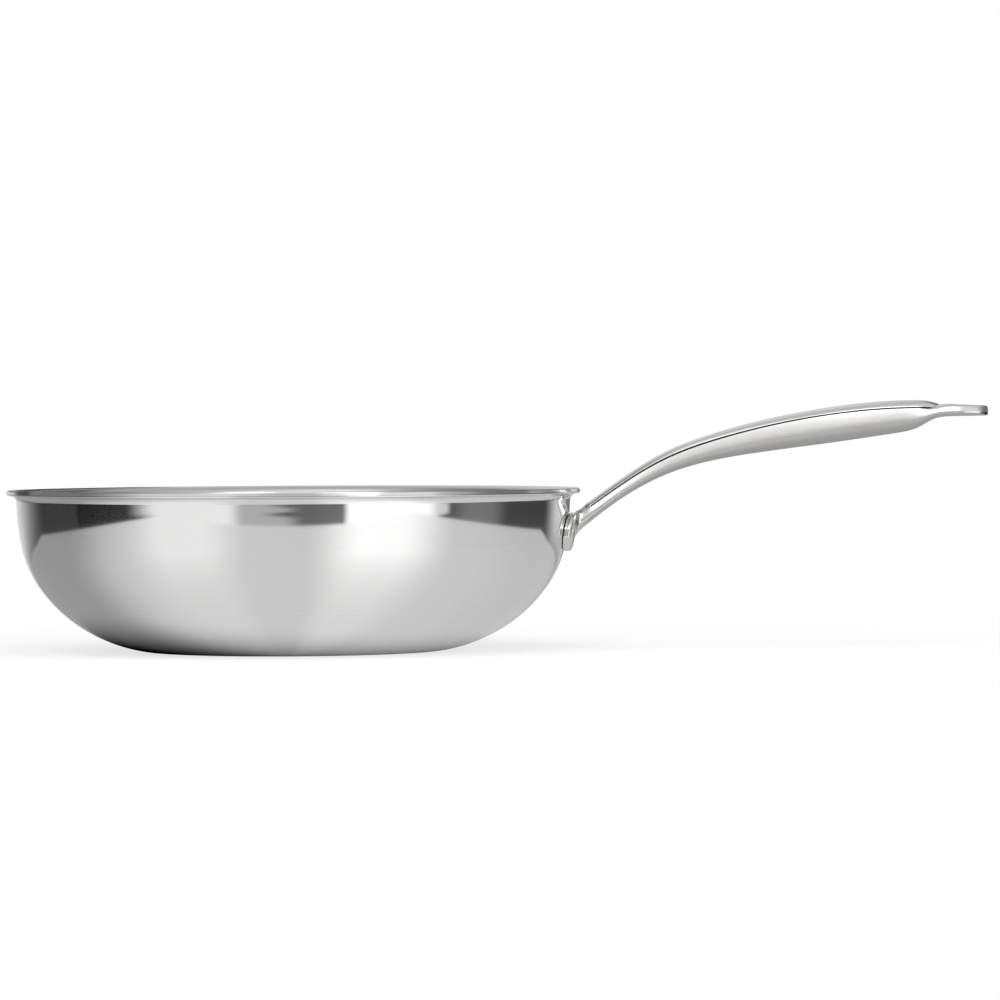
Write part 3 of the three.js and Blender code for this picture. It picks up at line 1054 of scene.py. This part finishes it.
def makeWorld():
    world = bpy.data.worlds.new("studio")
    bpy.context.scene.world = world
    world.use_nodes = True
    world.node_tree.nodes.clear()
    start = Wire(world.node_tree)
    way = start.node("ShaderNodeTexCoord", output="Generated")
    parts = start.node("ShaderNodeSeparateXYZ", sockets={0: way})
    turn = start.math("DEGREES", start.math("ARCTAN2", parts, -parts.out("Y")))
    height = start.math("DEGREES", start.math("ARCSINE", parts.out("Z")))
    tongue = height.within(*studio["tongue"])

    def panel(name, edges, lowReach, highReach):
        low, high, light = studio[name]
        lowSoft, highSoft = studio[edges]
        begun = (turn - tongue * lowReach).step(low - lowSoft, low + lowSoft)
        ended = (turn + tongue * highReach).step(high - highSoft, high + highSoft)
        return begun * (1 - ended), light

    left, leftLight = panel("leftBox", "leftEdges", studio["leftReach"], 0)
    fringe, fringeLight = panel("fringe", "fringeEdges", 0, studio["fringeReach"])
    right, rightLight = panel("rightBox", "rightEdges", 0, 0)
    beside, besideLight = panel("rightStep", "stepEdges", 0, studio["rightReach"])
    wall = studio["shade"] + left * leftLight + fringe * fringeLight
    wall = wall + right * rightLight + beside * besideLight
    for name in ("deepShade", "middleShade", "sideShade"):
        low, high, soft, light = studio[name]
        wall = wall + turn.within(low, high, soft) * light
    around = start.math("ABSOLUTE", turn)
    bright, dim = studio["frontWall"]
    lowDown = 1 - height.step(*studio["boxTop"])
    front = bright - around.step(*studio["frontSides"]) * (bright - dim)
    for box, glow, foot in zip((left, right), studio["boxGlow"], studio["boxFoot"]):
        front = front + box * (glow + lowDown * foot)
    above = height.step(*studio["frontFrom"])
    wall = wall * (1 - above) + front * above
    edge, soft = studio["backdropLeft"]
    back = 1 - turn.step(edge - soft, edge + soft)
    edge, soft = studio["backdropRight"]
    back = back + turn.step(edge - soft, edge + soft)
    bright, dim = studio["backdrop"]
    wall = wall * (1 - back) + back * (dim + height.step(*studio["backdropLow"]) * (bright - dim))
    lean = (-parts.out("Y")).step(*studio["domeLean"])
    dome = studio["backDome"] + lean * (studio["frontDome"] - studio["backDome"])
    for place, gain in studio["overhead"]:
        dome = dome + (1 - distance(start, way, place).step(*studio["overheadReach"])) * gain
    over = height.step(*studio["domeFrom"])
    light = wall * (1 - over) + dome * over
    for low, high, soft, foot, top, blur, share in studio["flags"]:
        light = light * (1 - turn.within(low, high, soft) * height.within(foot, top, blur) * share)
    seen = start.node("ShaderNodeLightPath", output="Is Camera Ray")
    strength = seen + (1 - seen) * light
    shade = start.node("ShaderNodeBackground", sockets={"Color": white, "Strength": strength})
    start.node("ShaderNodeOutputWorld", sockets={"Surface": shade})


camera = {
    "distance": 2.9,
    "height": 0.116,
    "target": (0.1034, 0.0748),  # along X and up
    "width": 0.5,
    "roll": radians(0.30),
    "sensor": 36,
    "farthest": 100,
}


def makeCamera():
    bpy.ops.object.camera_add()
    made = bpy.context.object
    made.name = "camera"
    x, z = camera["target"]
    made.location = (x, -camera["distance"], camera["height"])
    tilt = atan2(camera["height"] - z, camera["distance"])
    made.rotation_euler = (pi / 2 - tilt, camera["roll"], 0)
    made.data.sensor_width = camera["sensor"]
    made.data.lens = camera["sensor"] * camera["distance"] / camera["width"]
    made.data.clip_end = camera["farthest"]
    bpy.context.scene.camera = made


makeFloor()
makeCard()
makeLights()
makeWorld()
makeCamera()
bpy.context.scene.view_settings.view_transform = "Standard"
print("stage set")
